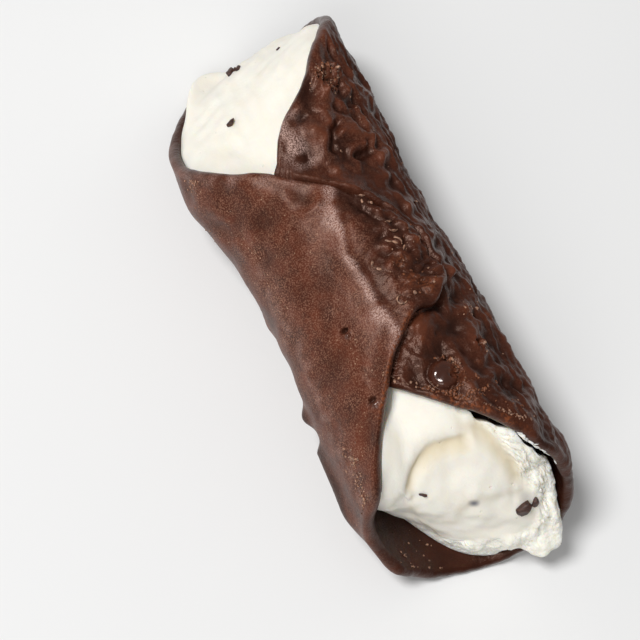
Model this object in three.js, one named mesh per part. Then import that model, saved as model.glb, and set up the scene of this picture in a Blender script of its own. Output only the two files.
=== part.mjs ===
// A cannolo: an oval sheet of dough rolled round a tube, fried, coated all over
// in dark chocolate, and filled with ricotta cream from both ends.
//
// Millimetres, +Z up. The roll lies along Y, and the origin is on the surface
// it rests on, under the middle of the whole. Angles round the roll are in
// degrees from the top, growing toward +X. The sheet starts and ends on top, so
// its middle, the tongue, lies underneath: turn angles are counted from there.
import * as THREE from "three";

// --- driving dimensions -------------------------------------------------
const SHEET_THICKNESS = 2.8;      // fried dough with its chocolate coat
const TURN_GAP = 0.3;             // between the two turns where they overlap
const CREAM_GAP = 0.4;            // between the cream and the shell's inside
// cream swells out past the inner turn's edge from this far off it: mm along,
// and degrees round and to fade
const EDGE_ROOM = { along: 5, round: 10, fade: 8 };
const AXIS_HEIGHT = 20;           // middle of the roll above its rest
const UNDERSIDE_RADIUS = 20.6;    // a little more than the height: a flat foot
const TONGUE_ANGLE = 148;         // where the middle of the sheet lies
const RIGHT_SIDE_ANGLE = 71;      // where the narrow side's radii are measured
const HALF_LENGTH = 63.5;         // middle of the roll to either tongue tip
const ORIGIN_SHIFT = { x: 1.6, y: 0.9 };  // the flare and the slumped cream balanced

// turn angle where the sheet begins, under the flap, and where its flap ends
const SHEET_BEGINS = -226;
const SHEET_ENDS = 238;
const CLIMB_BEGINS = 70;          // the outer turn climbs onto the inner one
const CLIMB_ENDS = 130;
const EDGE_ROUNDING = 5;          // degrees of sheet that round off its two ends

// [turn angle, reach of the rim from the middle of the roll]
const FRONT_RIM = [
  [-226, 6], [-215, 14], [-180, 25.6], [-136, 38.5], [-105, 50], [-60, 60],
  [0, HALF_LENGTH], [55, 61.5], [88, 57.5], [108, 50.5], [128, 46], [146, 43],
  [160, 35.5], [180, 25.4], [195, 18.4], [211, 13.8], [228, 12.6], [238, 9],
];
const BACK_RIM = [
  [-226, 6], [-215, 14], [-180, 26], [-170, 32], [-142, 41], [-117, 50], [-90, 56],
  [-50, 61.5], [0, HALF_LENGTH], [45, 61.5], [75, 56], [100, 48], [125, 40],
  [145, 34], [180, 24.6], [203, 18.1], [225, 10.5], [238, 3],
];
// [place along Y, radius]: the roll flares at both mouths, most on its left
const LEFT_SIDE = [
  [-HALF_LENGTH, 21], [-47, 21], [-32, 19.9], [-2, 18.4], [16, 19.4],
  [31, 22.6], [47, 21.6], [HALF_LENGTH, 20.5],
];
const RIGHT_SIDE = [
  [-HALF_LENGTH, 21.6], [-47, 22.6], [-23, 21.6], [14, 20.5], [HALF_LENGTH, 21.4],
];
// chocolate that ran down and set as a ledge, low on the left near the front
const LEDGE = { angle: -109, halfAngle: 8, depth: 2.4, from: -52, to: -22, fade: 8 };
// gentle unevenness of the fried dough: height, waves round, wave length along
const UNEVENNESS = [
  { height: 0.25, round: 2, length: 57 },
  { height: 0.18, round: 5, length: -44 },
];

// how far inside its rim the cream stops; at the front it leaves more of the
// tongue bare at the lower left, and slumps past the rim at the lower right
const CREAM_INSET = 1.2;
const BARE_TONGUE = { angle: 228, halfAngle: 38, depth: 14 };
const SLUMP = { angle: 118, halfAngle: 18, depth: -4 };
const FRONT_BULGE = 5;            // how far each end of the cream stands proud
const BACK_BULGE = 5;
// a turn of the piping nozzle left a curved groove in the front cream
const SWIRL = { across: -1.5, up: 3.5, radius: 11, width: 2.2, depth: 1.2, from: 70, to: 200 };

// --- fineness of the faceted solids -------------------------------------
const SHEET_STEPS = 68;           // round the sheet
const EDGE_STEPS = 4;             // over each rounded end of the sheet
const LENGTH_STEPS = 14;          // along the roll
const CREAM_SIDES = 60;
const CREAM_RINGS = 9;            // from the middle of each end to its edge
const CREAM_WALL_STEPS = 12;

// --- small tools ----------------------------------------------------------
const radians = THREE.MathUtils.degToRad;
const mix = THREE.MathUtils.lerp;
const rise = (from, to, x) => THREE.MathUtils.smoothstep(x, from, to);
const evenSteps = (count) => Array.from({ length: count + 1 }, (_, i) => i / count);

// degrees folded into -180..180
function folded(angle) {
  return THREE.MathUtils.euclideanModulo(angle + 180, 360) - 180;
}

// a smooth curve through [place, value] stations that never overshoots them
function through(stations, place) {
  const last = stations.length - 1;
  const x = THREE.MathUtils.clamp(place, stations[0][0], stations[last][0]);
  const steepness = (i) => {
    const [x0, y0] = stations[i];
    const [x1, y1] = stations[i + 1];
    return (y1 - y0) / (x1 - x0);
  };
  const slopeAt = (i) => {
    if (i === 0) return steepness(0);
    if (i === last) return steepness(last - 1);
    const before = steepness(i - 1);
    const after = steepness(i);
    return before * after <= 0 ? 0 : (2 * before * after) / (before + after);
  };
  let i = 0;
  while (i < last - 1 && x > stations[i + 1][0]) i += 1;
  const span = stations[i + 1][0] - stations[i][0];
  const t = (x - stations[i][0]) / span;
  const back = 1 - t;
  return (
    stations[i][1] * (1 + 2 * t) * back * back +
    stations[i + 1][1] * t * t * (3 - 2 * t) +
    span * t * back * (slopeAt(i) * back - slopeAt(i + 1) * t)
  );
}

// a closed solid through rings of equally many points, each end fanned shut
function solidThroughRings(rings) {
  const sides = rings[0].length;
  const points = rings.flat();
  const faces = [];
  for (let ring = 0; ring < rings.length - 1; ring += 1) {
    for (let side = 0; side < sides; side += 1) {
      const next = (side + 1) % sides;
      const a = ring * sides + side;
      const b = ring * sides + next;
      faces.push(a, b, a + sides, b, b + sides, a + sides);
    }
  }
  for (const [ring, turned] of [[0, true], [rings.length - 1, false]]) {
    const middle = new THREE.Vector3();
    for (const point of rings[ring]) middle.addScaledVector(point, 1 / sides);
    const hub = points.push(middle) - 1;
    for (let side = 0; side < sides; side += 1) {
      const a = ring * sides + side;
      const b = ring * sides + ((side + 1) % sides);
      faces.push(...(turned ? [hub, b, a] : [hub, a, b]));
    }
  }
  const geometry = new THREE.BufferGeometry().setFromPoints(points);
  geometry.setIndex(faces);
  geometry.computeVertexNormals();
  return geometry;
}

// --- the rolled sheet -------------------------------------------------------
// outer radius of the inner turn
function turnRadius(angle, y) {
  const toRight = (1 + Math.cos(radians(angle - RIGHT_SIDE_ANGLE))) / 2;
  const sides = mix(through(LEFT_SIDE, y), through(RIGHT_SIDE, y), toRight);
  const underneath = Math.max(0, -Math.cos(radians(angle))) ** 3;
  let radius = mix(sides, UNDERSIDE_RADIUS, underneath);
  for (const { height, round, length } of UNEVENNESS) {
    const wave = Math.sin(radians(angle * round) + (2 * Math.PI * y) / length);
    radius += height * wave * (1 - underneath);
  }
  return radius;
}

// how far the outer turn has climbed, so that it lies on the inner one
function climb(turn) {
  return (SHEET_THICKNESS + TURN_GAP) * rise(CLIMB_BEGINS, CLIMB_ENDS, turn);
}

// a rounded swelling of the given depth about one angle
function swelling({ angle: middle, halfAngle, depth }, angle) {
  return depth * Math.exp(-((folded(angle - middle) / halfAngle) ** 2));
}

function ledgeDepth(angle, y) {
  const { from, to, fade } = LEDGE;
  const along = rise(from - fade, from, y) * (1 - rise(to, to + fade, y));
  return swelling(LEDGE, angle) * along;
}

function onRoll(angle, y, radius) {
  const x = radius * Math.sin(radians(angle));
  const z = AXIS_HEIGHT + radius * Math.cos(radians(angle));
  return new THREE.Vector3(x, y, Math.max(z, 0));
}

// a cut along the roll at one turn angle: inner face, rounded rims, outer face
function sheetSection(turn, thickness) {
  const angle = turn + TONGUE_ANGLE;
  const rimRounding = 0.35 * thickness;
  const front = -through(FRONT_RIM, turn);
  const back = through(BACK_RIM, turn);
  const facePoint = (depth) => (y) => {
    const crest = turnRadius(angle, y) + climb(turn);
    const middle = crest - SHEET_THICKNESS / 2;
    const proud = depth > 0 && turn > 0 ? ledgeDepth(angle, y) : 0;
    return onRoll(angle, y, middle + depth * thickness + proud);
  };
  const places = evenSteps(LENGTH_STEPS).map((t) => mix(front + rimRounding, back - rimRounding, t));
  return [
    facePoint(0)(front),
    ...places.map(facePoint(-0.5)),
    facePoint(0)(back),
    ...places.toReversed().map(facePoint(0.5)),
  ];
}

function shellGeometry() {
  const full = SHEET_THICKNESS;
  const rounded = evenSteps(EDGE_STEPS).slice(0, -1);
  const tip = (t) => full * Math.sqrt(1 - (0.97 * (1 - t)) ** 2);
  const starting = rounded.map((t) => [SHEET_BEGINS + EDGE_ROUNDING * t ** 2, tip(t)]);
  const ending = rounded.toReversed().map((t) => [SHEET_ENDS - EDGE_ROUNDING * t ** 2, tip(t)]);
  const plain = evenSteps(SHEET_STEPS).map((t) => [
    mix(SHEET_BEGINS + EDGE_ROUNDING, SHEET_ENDS - EDGE_ROUNDING, t),
    full,
  ]);
  const cuts = [...starting, ...plain, ...ending];
  return solidThroughRings(cuts.map(([turn, thickness]) => sheetSection(turn, thickness)));
}

// --- the cream ---------------------------------------------------------------
// 1 where only the raised outer turn covers the cream, 0 under the inner turn
function underOuterTurn(angle, y) {
  const innerTurn = folded(angle - TONGUE_ANGLE + 180) - 180;
  if (innerTurn > -180) return 0;
  const rim = through(y < 0 ? FRONT_RIM : BACK_RIM, innerTurn);
  const beyondRim = rise(rim + EDGE_ROOM.along, rim + EDGE_ROOM.along + EDGE_ROOM.fade, Math.abs(y));
  const start = SHEET_BEGINS - EDGE_ROOM.round;
  const beforeStart = 1 - rise(start - EDGE_ROOM.fade, start, innerTurn);
  return Math.max(beyondRim, beforeStart);
}

function creamRadius(angle, y) {
  const turn = folded(angle - TONGUE_ANGLE);
  const room = climb(turn) * underOuterTurn(angle, y);
  return turnRadius(angle, y) - SHEET_THICKNESS - CREAM_GAP + room;
}

// where the cream meets the shell, from the middle of the roll
function creamEdge(rim, angle) {
  const edge = through(rim, folded(angle - TONGUE_ANGLE)) - CREAM_INSET;
  return rim === BACK_RIM ? edge : edge - swelling(BARE_TONGUE, angle) - swelling(SLUMP, angle);
}

function swirlDepth(x, z) {
  const across = x - SWIRL.across;
  const up = z - AXIS_HEIGHT - SWIRL.up;
  const off = (Math.hypot(across, up) - SWIRL.radius) / SWIRL.width;
  const around = THREE.MathUtils.euclideanModulo(THREE.MathUtils.radToDeg(Math.atan2(up, across)), 360);
  const fade = rise(SWIRL.from - 20, SWIRL.from, around) * (1 - rise(SWIRL.to, SWIRL.to + 20, around));
  return SWIRL.depth * Math.exp(-off * off) * fade;
}

// rings of a film stretched over a closed loop of points: each wave in the loop
// dies away toward the middle, the finer the sooner
function stretchedFilm(loop) {
  const count = loop.length;
  const turnOf = (wave, i) => (2 * Math.PI * wave * i) / count;
  const sumOver = (wave, shape) => {
    const share = (wave === 0 || wave === count / 2 ? 1 : 2) / count;
    const sum = new THREE.Vector3();
    loop.forEach((point, i) => sum.addScaledVector(point, share * shape(turnOf(wave, i))));
    return sum;
  };
  const waves = Array.from({ length: count / 2 + 1 }, (_, wave) => ({
    sine: sumOver(wave, Math.sin),
    cosine: sumOver(wave, Math.cos),
  }));
  return (out) =>
    loop.map((_, i) => {
      const point = new THREE.Vector3();
      waves.forEach(({ sine, cosine }, wave) => {
        point.addScaledVector(sine, out ** wave * Math.sin(turnOf(wave, i)));
        point.addScaledVector(cosine, out ** wave * Math.cos(turnOf(wave, i)));
      });
      return point;
    });
}

// one end of the cream, from its edge (out = 1) to its middle (out = 0)
function creamEnd(rim, bulge) {
  const outward = rim === FRONT_RIM ? -1 : 1;
  const edge = evenSteps(CREAM_SIDES).slice(0, -1).map((t) => {
    const y = outward * creamEdge(rim, 360 * t);
    return onRoll(360 * t, y, creamRadius(360 * t, y));
  });
  const film = stretchedFilm(edge);
  return (out) => {
    const ring = film(out);
    for (const point of ring) {
      const groove = rim === FRONT_RIM ? swirlDepth(point.x, point.z) * (1 - out ** 4) : 0;
      point.y += outward * (bulge * (1 - out * out) - groove);
    }
    return ring;
  };
}

function creamGeometry() {
  const front = creamEnd(FRONT_RIM, FRONT_BULGE);
  const back = creamEnd(BACK_RIM, BACK_BULGE);
  const outs = evenSteps(CREAM_RINGS).slice(1);
  const frontEdge = front(1);
  const backEdge = back(1);
  const wall = evenSteps(CREAM_WALL_STEPS).slice(1, -1).map((t) =>
    frontEdge.map((start, i) => {
      const y = mix(start.y, backEdge[i].y, t);
      const angle = (360 * i) / CREAM_SIDES;
      return onRoll(angle, y, creamRadius(angle, y));
    }),
  );
  return solidThroughRings([...outs.map(front), ...wall, ...outs.toReversed().map(back)]);
}

// --- the cannolo ---------------------------------------------------------------
function piece(name, geometry, look) {
  const mesh = new THREE.Mesh(geometry, new THREE.MeshStandardMaterial(look));
  mesh.name = name;
  return mesh;
}

const cannolo = new THREE.Group();
cannolo.position.set(ORIGIN_SHIFT.x, ORIGIN_SHIFT.y, 0);
cannolo.add(piece("shell", shellGeometry(), { color: "#5e3a2c", roughness: 0.45, metalness: 0 }));
cannolo.add(piece("cream", creamGeometry(), { color: "#f6f1e6", roughness: 0.55, metalness: 0 }));

export default cannolo;
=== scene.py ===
# %% [markdown]
# # A chocolate cannolo
# An oval sheet of fried dough is rolled round a tube, dipped in dark chocolate and filled
# with ricotta cream. The part's solids give its size and pose. Here each solid gets a finely
# meshed stand-in of the same shape, with the lumps, rims, swirls and finishes of the real
# pastry. Everything is worked out in millimetres on the unrolled sheet, because that is how
# the baker sees it: a place on the sheet is a turn angle and a distance along the roll.

# %% The tools and the fixed frame
import math
import bpy
import numpy as np
from mathutils import Matrix, Vector


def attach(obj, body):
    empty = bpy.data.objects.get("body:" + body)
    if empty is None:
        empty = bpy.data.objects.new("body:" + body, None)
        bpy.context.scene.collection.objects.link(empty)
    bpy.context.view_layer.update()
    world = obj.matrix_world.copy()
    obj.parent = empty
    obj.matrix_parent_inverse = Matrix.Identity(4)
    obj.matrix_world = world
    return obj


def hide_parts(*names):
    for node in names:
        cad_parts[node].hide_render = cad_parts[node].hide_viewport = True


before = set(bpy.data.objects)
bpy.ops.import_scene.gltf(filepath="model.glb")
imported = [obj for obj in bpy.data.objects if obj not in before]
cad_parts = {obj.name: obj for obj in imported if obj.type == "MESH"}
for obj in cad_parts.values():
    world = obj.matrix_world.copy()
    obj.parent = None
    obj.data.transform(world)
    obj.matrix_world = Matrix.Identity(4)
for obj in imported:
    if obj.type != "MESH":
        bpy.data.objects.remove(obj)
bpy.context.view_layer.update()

# %% [markdown]
# ## Measures of the roll
# The stand-ins must lie where the solids lie, so the roll's own measures come first. They
# are stations measured along the real thing, with a smooth curve through each list. A list
# is easier to correct than a formula: one wrong place is one number.

# %% Sizes of the rolled sheet, in millimetres and degrees
MM = 0.001
SHEET_THICKNESS = 2.8
TURN_GAP = 0.3
CREAM_GAP = 0.4
EDGE_ROOM_ALONG = 5
EDGE_ROOM_ROUND = 10
EDGE_ROOM_FADE = 8
AXIS_HEIGHT = 20
UNDERSIDE_RADIUS = 20.6
TONGUE_ANGLE = 148
RIGHT_SIDE_ANGLE = 71
HALF_LENGTH = 63.5
ORIGIN_SHIFT = np.array([1.6, 0.9, 0.0])
SHEET_BEGINS = -226
SHEET_ENDS = 238
CLIMB_BEGINS = 70
CLIMB_ENDS = 130
EDGE_ROUNDING = 5
UNDER_FLAP = -100
RIM_SLANT = 0.72
FRONT_RIM = [
    (-226, 6), (-215, 13), (-180, 24.2), (-168, 28), (-136, 38.4), (-105, 49.4), (-82, 53.9),
    (-58, 58.9), (-30, 62.3), (0, HALF_LENGTH), (35, 62.3), (65, 59.2), (88, 56.7), (108, 50.3),
    (128, 46), (146, 43), (160, 35.5), (180, 25.4), (195, 18.4), (211, 13.8), (228, 12.6), (238, 9),
]
BACK_RIM = [
    (-226, 6), (-215, 14), (-180, 26), (-170, 32), (-142, 41), (-117, 50), (-90, 56), (-50, 61.5),
    (0, HALF_LENGTH), (45, 61.5), (75, 56), (100, 48), (125, 40), (145, 34), (180, 24.6), (203, 18.1),
    (225, 10.5), (238, 3),
]
LEFT_SIDE = [
    (-HALF_LENGTH, 21), (-47, 21), (-32, 19.9), (-2, 18.4), (16, 19.4), (31, 22.6), (47, 21.6),
    (HALF_LENGTH, 20.5),
]
RIGHT_SIDE = [(-HALF_LENGTH, 21.6), (-47, 22.6), (-23, 21.6), (14, 20.5), (HALF_LENGTH, 21.4)]
UNEVENNESS = [(0.25, 2, 57), (0.18, 5, -44)]
ARC = math.radians(1) * 21
print(f"a degree of turn is {ARC:.2f} mm of sheet")


# %% Small tools for smooth curves
def rise(start, end, x):
    """0 before the start, 1 after the end, and smooth between."""
    t = np.clip((x - start) / (end - start), 0, 1)
    return t * t * (3 - 2 * t)


def fall(start, end, x):
    return 1 - rise(start, end, x)


def hill(x):
    return np.exp(-(x**2))


def folded(angle):
    return (angle + 180) % 360 - 180


def through(stations, place):
    """A smooth curve through (place, value) stations that never overshoots them."""
    xs, ys = np.array(stations, float).T
    steepness = np.diff(ys) / np.diff(xs)
    before, after = steepness[:-1], steepness[1:]
    together = np.where(before * after > 0, before + after, 1)
    inner = np.where(before * after > 0, 2 * before * after / together, 0)
    slope = np.concatenate([steepness[:1], inner, steepness[-1:]])
    x = np.clip(place, xs[0], xs[-1])
    i = np.clip(np.searchsorted(xs, x, side="right") - 1, 0, len(xs) - 2)
    span = xs[i + 1] - xs[i]
    t = (x - xs[i]) / span
    value = ys[i] * (1 + 2 * t) * (1 - t) ** 2 + ys[i + 1] * t * t * (3 - 2 * t)
    return value + span * t * (1 - t) * (slope[i] * (1 - t) - slope[i + 1] * t)


def front_rim(turn):
    return through(FRONT_RIM, turn)


def back_rim(turn):
    return through(BACK_RIM, turn)


def swelling(middle, half_angle, depth, angle):
    return depth * hill(folded(angle - middle) / half_angle)


def swellings(rows, angle):
    return sum(swelling(*row, angle) for row in rows)


# %% The shape of the roll
def turn_radius(angle, y):
    """Outer radius of the inner turn."""
    to_right = (1 + np.cos(np.radians(angle - RIGHT_SIDE_ANGLE))) / 2
    sides = through(LEFT_SIDE, y) * (1 - to_right) + through(RIGHT_SIDE, y) * to_right
    underneath = np.maximum(0, -np.cos(np.radians(angle))) ** 3
    radius = sides * (1 - underneath) + UNDERSIDE_RADIUS * underneath
    for height, around, length in UNEVENNESS:
        wave = np.sin(np.radians(angle * around) + 2 * math.pi * y / length)
        radius = radius + height * wave * (1 - underneath)
    leaning_arm = swelling(76, 24, 0.7, angle) * fall(-56, -44, y)
    return radius - leaning_arm


def climb(turn):
    return (SHEET_THICKNESS + TURN_GAP) * rise(CLIMB_BEGINS, CLIMB_ENDS, turn)


def on_roll(angle, y, radius):
    x = radius * np.sin(np.radians(angle))
    z = AXIS_HEIGHT + radius * np.cos(np.radians(angle))
    return np.stack([x, y + 0 * x, np.maximum(z, 0)], axis=-1)


print("radius on the right, middle:", turn_radius(RIGHT_SIDE_ANGLE, 0.0).round(2), "mm")

# %% [markdown]
# ## Lumps
# Fried dough is never smooth: it swells in soft lumps and blisters, and the chocolate
# evens them out. Soft lumps can come from a noise texture, but a texture can't change the
# outline. Summing a few dozen waves of nearly one length, in random directions, gives the
# same look as numbers that move the mesh itself.


# %% Helpers for lumps, blisters and ridges
def ripples(u, v, size, seed, waves=26):
    """Random soft lumps about `size` mm apart, mostly between -2 and 2."""
    chance = np.random.default_rng(seed)
    total = np.zeros(np.broadcast(u, v).shape)
    for _ in range(waves):
        heading = chance.uniform(0, 2 * math.pi)
        number = 2 * math.pi / (2 * size * chance.uniform(0.7, 1.4))
        phase = chance.uniform(0, 2 * math.pi)
        total += np.cos(number * (u * math.cos(heading) + v * math.sin(heading)) + phase)
    return total * math.sqrt(2 / waves)


def ridges(u, v, size, seed):
    """Narrow raised ridges between soft hollows."""
    return 0.8 - np.abs(ripples(u, v, size, seed))


def distance_to_path(u, v, path):
    """Distance to a broken line, and the side of it: 1 on its left, -1 on its right."""
    nearest = np.full(np.broadcast(u, v).shape, 1e9)
    side = np.zeros_like(nearest)
    for (u0, v0), (u1, v1) in zip(path[:-1], path[1:]):
        du, dv = u1 - u0, v1 - v0
        t = np.clip(((u - u0) * du + (v - v0) * dv) / (du * du + dv * dv), 0, 1)
        away = np.hypot(u - u0 - t * du, v - v0 - t * dv)
        closer = away < nearest
        nearest = np.where(closer, away, nearest)
        side = np.where(closer, np.sign((v - v0) * du - (u - u0) * dv), side)
    return nearest, side


def distance_on_sheet(turn, y, path):
    return distance_to_path(turn * ARC, y, [(t * ARC, p) for t, p in path])


def from_place(turn, y, place):
    """Millimetres round and along the sheet from a named place."""
    return (turn - place[0]) * ARC, y - place[1]


def bump(u, v, at, radius):
    """1 in the middle of a round spot, falling smoothly to 0 at its radius."""
    away = ((u - at[0]) ** 2 + (v - at[1]) ** 2) / radius**2
    return np.maximum(0, 1 - away) ** 2


# %% [markdown]
# ## Where the turns cover each other
# The flap, the last quarter of the sheet, lies on the first quarter. Chocolate has run into
# the step along its far edge and its end, so only a thin crease is left there. Its near
# edge lifts clear and leaves a dark gap. Both need the distance to the flap's edge.


# %% Helpers for the flap's edge
def past_flap(turn, y):
    """Distance in mm beyond the flap's far edge, near edge and end, for the inner turn."""
    outer = turn + 360
    far_slope = (back_rim(outer + 1) - back_rim(outer - 1)) / (2 * ARC)
    near_slope = (front_rim(outer + 1) - front_rim(outer - 1)) / (2 * ARC)
    far = (y - back_rim(outer)) / np.hypot(1, far_slope)
    near = (-y - front_rim(outer)) / np.hypot(1, near_slope)
    return far, near, (outer - SHEET_ENDS) * ARC


def covered(turn, y):
    """1 where the flap lies on the inner turn."""
    far, near, end = past_flap(turn, y)
    outside = np.maximum(np.maximum(far, near), end)
    return np.where(turn < UNDER_FLAP, fall(-1.5, 0.5, outside), 0)


# %% [markdown]
# ## Relief of the chocolate
# The coat's relief is one height in millimetres for each place on the sheet. The flap is
# calm, with a long soft ridge, a dent and two pits. The narrow right side is lumpy, with
# thin folds running along the roll. One blister near the front mouth has burst.
# Each feature is a short line with its own place, so it can be moved alone.

# %% Named places on the sheet: (turn angle, place along the roll)
RIDGE = [
    (203, 21), (202, 17.7), (198, 12.5), (196, 8), (192.5, 3), (194, 0), (195, -4), (195, -7),
    (198, -13), (197, -17), (191, -21),
]
ROUND_DENT = (187.5, 16.8)
PIT = (174, -10.2)
LOW_PIT = (171.5, -25.4)
BIG_BLISTER = (-148.5, -27.0)
BLISTER_REACH = 3.0
# the torn part of the blister, in mm from its middle
TORN_PLACE = (2.0, -0.6)
TORN_REACH = 2.1
UNDER_FLAP_SINK = 0.3
SPOT_FADE = 1.6
CRATERS = [
    # (turn, along, reach)
    (-118, -23.7, 1.0), (-127, 40, 2.1), (-119, 42.4, 0.8),
]
LONG_FOLDS = [
    [(-103, 44), (-106, 39), (-97, 36), (-88, 33), (-84, 29), (-84, 25), (-80, 18), (-76, 10),
     (-79, 2), (-74, -9), (-80, -20)],
    [(-116, 41), (-101, 34), (-103, 29), (-104, 24), (-106, 19), (-99, 16), (-97, 12), (-96, 8),
     (-92, 4), (-98, 0), (-95, -4), (-90, -9)],
    [(-90, 46), (-84, 38), (-72, 26), (-70, 15), (-66, 4), (-70, -6)],
    [(-120, 16), (-117, 8), (-108, 0), (-104, -8), (-97, -14)],
    [(-96, -10), (-92, -22), (-89, -33), (-93, -41), (-98, -47)],
    [(-131, 37), (-121, 33), (-113, 30), (-110, 25)], [(-110, 48.5), (-106, 44), (-104, 40)],
    [(-101, 51), (-97, 46), (-96, 42)],
    [(232, -11.5), (236, -7), (233, -2), (229, 1.5), (228, 6), (224, 9.5)],
]
CREVICES = [
    # (path, width, depth)
    ([(-135, 29.6), (-139, 28.8), (-141.5, 27), (-145, 25)], 0.9, 0.9),
    ([(-131, 22.3), (-127, 22.2), (-121.5, 22.4), (-119.5, 24)], 0.9, 0.95),
    ([(-159, 30), (-159, 26.7), (-162, 23.7)], 1.3, 0.45),
    ([(-138, 26.4), (-128, 25.6), (-118, 24.6)], 0.6, 0.5),
    ([(-130, 33.5), (-122, 30.6), (-117, 27)], 0.8, 0.55),
    ([(-112, 38), (-109, 33), (-110, 29)], 0.7, 0.6), ([(-92, 31), (-93, 24), (-89, 19)], 0.7, 0.6),
    ([(-88, 12), (-86, 4), (-84, -3)], 0.7, 0.6), ([(222, 8), (225, 4), (224, -1)], 0.8, 0.3),
    ([(-126, -30), (-116, -27.6), (-108, -29)], 0.9, 0.45),
    ([(-113, -33), (-104, -36), (-98, -35)], 0.9, 0.5),
]
HOLLOWS = [
    # (turn, along, reach round, reach along, depth)
    (-152.2, 33.6, 1.1, 1.1, -1.6), (-128, 35.5, 2.4, 1.1, -0.45), (214, 9.2, 2.4, 3.4, -0.6),
    (208, 15.5, 1.5, 1.3, -0.7), (210, -4, 1.5, 2.2, 0.3), (224, 3, 1.6, 2.4, 0.25),
    (-84, -13.8, 1.4, 1.3, -0.75), (-108, -18.1, 1.2, 1.0, -1.6), (-140.2, -18.6, 0.5, 0.5, -0.5),
    (-122, -17.4, 1.6, 1.0, -0.45), (-131, -24.2, 1.2, 0.8, -0.35), (-104, -33.5, 1.6, 0.9, -0.4),
    (-100, -26, 0.9, 1.4, -0.6), (-97, 12, 0.8, 2.2, -0.5), (-134.5, 27.6, 1.1, 1.0, 0.55),
    (-128, 24, 2.4, 0.8, 0.35), (-150, 26, 1.8, 3.2, 0.3), (-121, -30.5, 3.0, 1.1, 0.35),
    (-112, -38, 3.6, 1.2, 0.4), (-112, -16.6, 1.7, 1.3, 0.55), (-126, -21, 1.8, 1.4, 0.35),
    (-97, -19, 1.8, 2.2, 0.4), (217.5, -7.2, 1.5, 1.5, 0.4), (222, -11, 2.6, 1.0, 0.35),
    (-160, 25, 1.0, 2.8, -0.3), (-100, 40, 1.2, 2.0, 0.45), (-88, 40, 1.0, 2.6, -0.5),
]
ROUGH_SPOTS = [
    # where the dough shows through: (turn, along, reach)
    (217, -2.5, 1.6), (223, -9.8, 1.8), (217.5, -7.2, 1.6), (-112, -16.6, 1.6), (-114, -24, 1.5),
    (231, 0.2, 0.9), (-128, 40, 2.0), (-143, -27.8, 1.5), (-97, -19, 1.5), (136, 33, 1.6),
    (142, -34, 1.5), (139, -40, 1.4),
]
print("named places:", 5 + len(LONG_FOLDS) + len(CREVICES) + len(HOLLOWS) + len(CRATERS) + len(ROUGH_SPOTS))


# %% Calm and lumpy parts of the sheet
SHOULDER = (108, -19.3)
ZONES = {
    # fades in and out by turn angle, then in and out along the roll; None is no limit
    "flap": ((84, 112), None, None, None),
    "flap top": ((62, 100), None, None, None),
    "flap end": ((204, 214), None, (-18, -12), (9, 16)),
    "wrinkled": ((112, 140), (196, 204), (6, 15), None),
    "powdered": ((70, 110), (200, 222), None, None),
    "underside": ((-70, -40), (60, 90), None, None),
    "right side": ((-132, -108), (-40, 10), None, None),
    "near lumps": ((-164, -154), (-112, -100), None, (-12, -6)),
    "near rim": ((-166, -158), (-136, -112), None, None),
    "far side": ((-166, -158), (-112, -104), (17, 21), None),
    "far left": ((-176, -166), (-160, -146), (20, 24), None),
    "far highlight": (None, None, (22, 25), (34, 38)),
    "frill": (None, None, (-50, -40), (-27.5, -24.5)),
}


def zone(name, turn, y):
    """1 in a named part of the sheet, fading to 0 round it."""
    share = 1
    for fade, value, soften in zip(ZONES[name], (turn, turn, y, y), (rise, fall, rise, fall)):
        if fade:
            share = share * soften(*fade, value)
    return share


def calmness(turn, y):
    """1 on the smooth flap left of its ridge, less elsewhere."""
    edge = through(sorted([(-y_, t) for t, y_ in RIDGE]), -y)
    on_flap = zone("flap", turn, y) * (1 - 0.4 * rise(edge, edge + 9, turn))
    elsewhere = 0.8 * zone("far left", turn, y) + 0.35 * zone("underside", turn, y)
    return np.clip(on_flap + elsewhere, 0, 1)


def ledge_frill(turn, y):
    """Chocolate that ran down and set in lobes, low on the left near the front."""
    du, dv = from_place(turn, y, SHOULDER)
    first = np.exp(-((du / 2.2) ** 2) - (dv / 2.6) ** 2)
    across = ((turn - 106) * ARC - 0.06 * (y + 34)) / 2.8
    return 2.1 * first + 2.3 * hill(across) * zone("frill", turn, y)


# %% Blisters, lumps and folds
def blister_relief(turn, y, seed, count):
    """Blisters of the fried dough, some burst: none on the calm flap."""
    chance = np.random.default_rng(seed)
    height = np.zeros(np.broadcast(turn, y).shape)
    for _ in range(count):
        at_turn, at_y = chance.uniform(-222, 236), chance.uniform(-60, 60)
        radius, tall = chance.uniform(1.1, 2.9), chance.uniform(0.25, 0.6)
        stretch, burst = chance.uniform(0.8, 1.5), chance.random() < 0.15
        if calmness(np.array(at_turn), np.array(at_y)) > 0.5:
            continue
        away = np.hypot((turn - at_turn) * ARC, (y - at_y) / stretch) / radius
        dome = np.maximum(0, 1 - away**2) ** 1.5
        moat = 0.28 * hill((away - 1.12) / 0.2)
        crater = 1.5 * np.maximum(0, 1 - (away / 0.62) ** 2) ** 1.2 if burst else 0
        height += tall * (dome - moat - crater)
    return height


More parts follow.
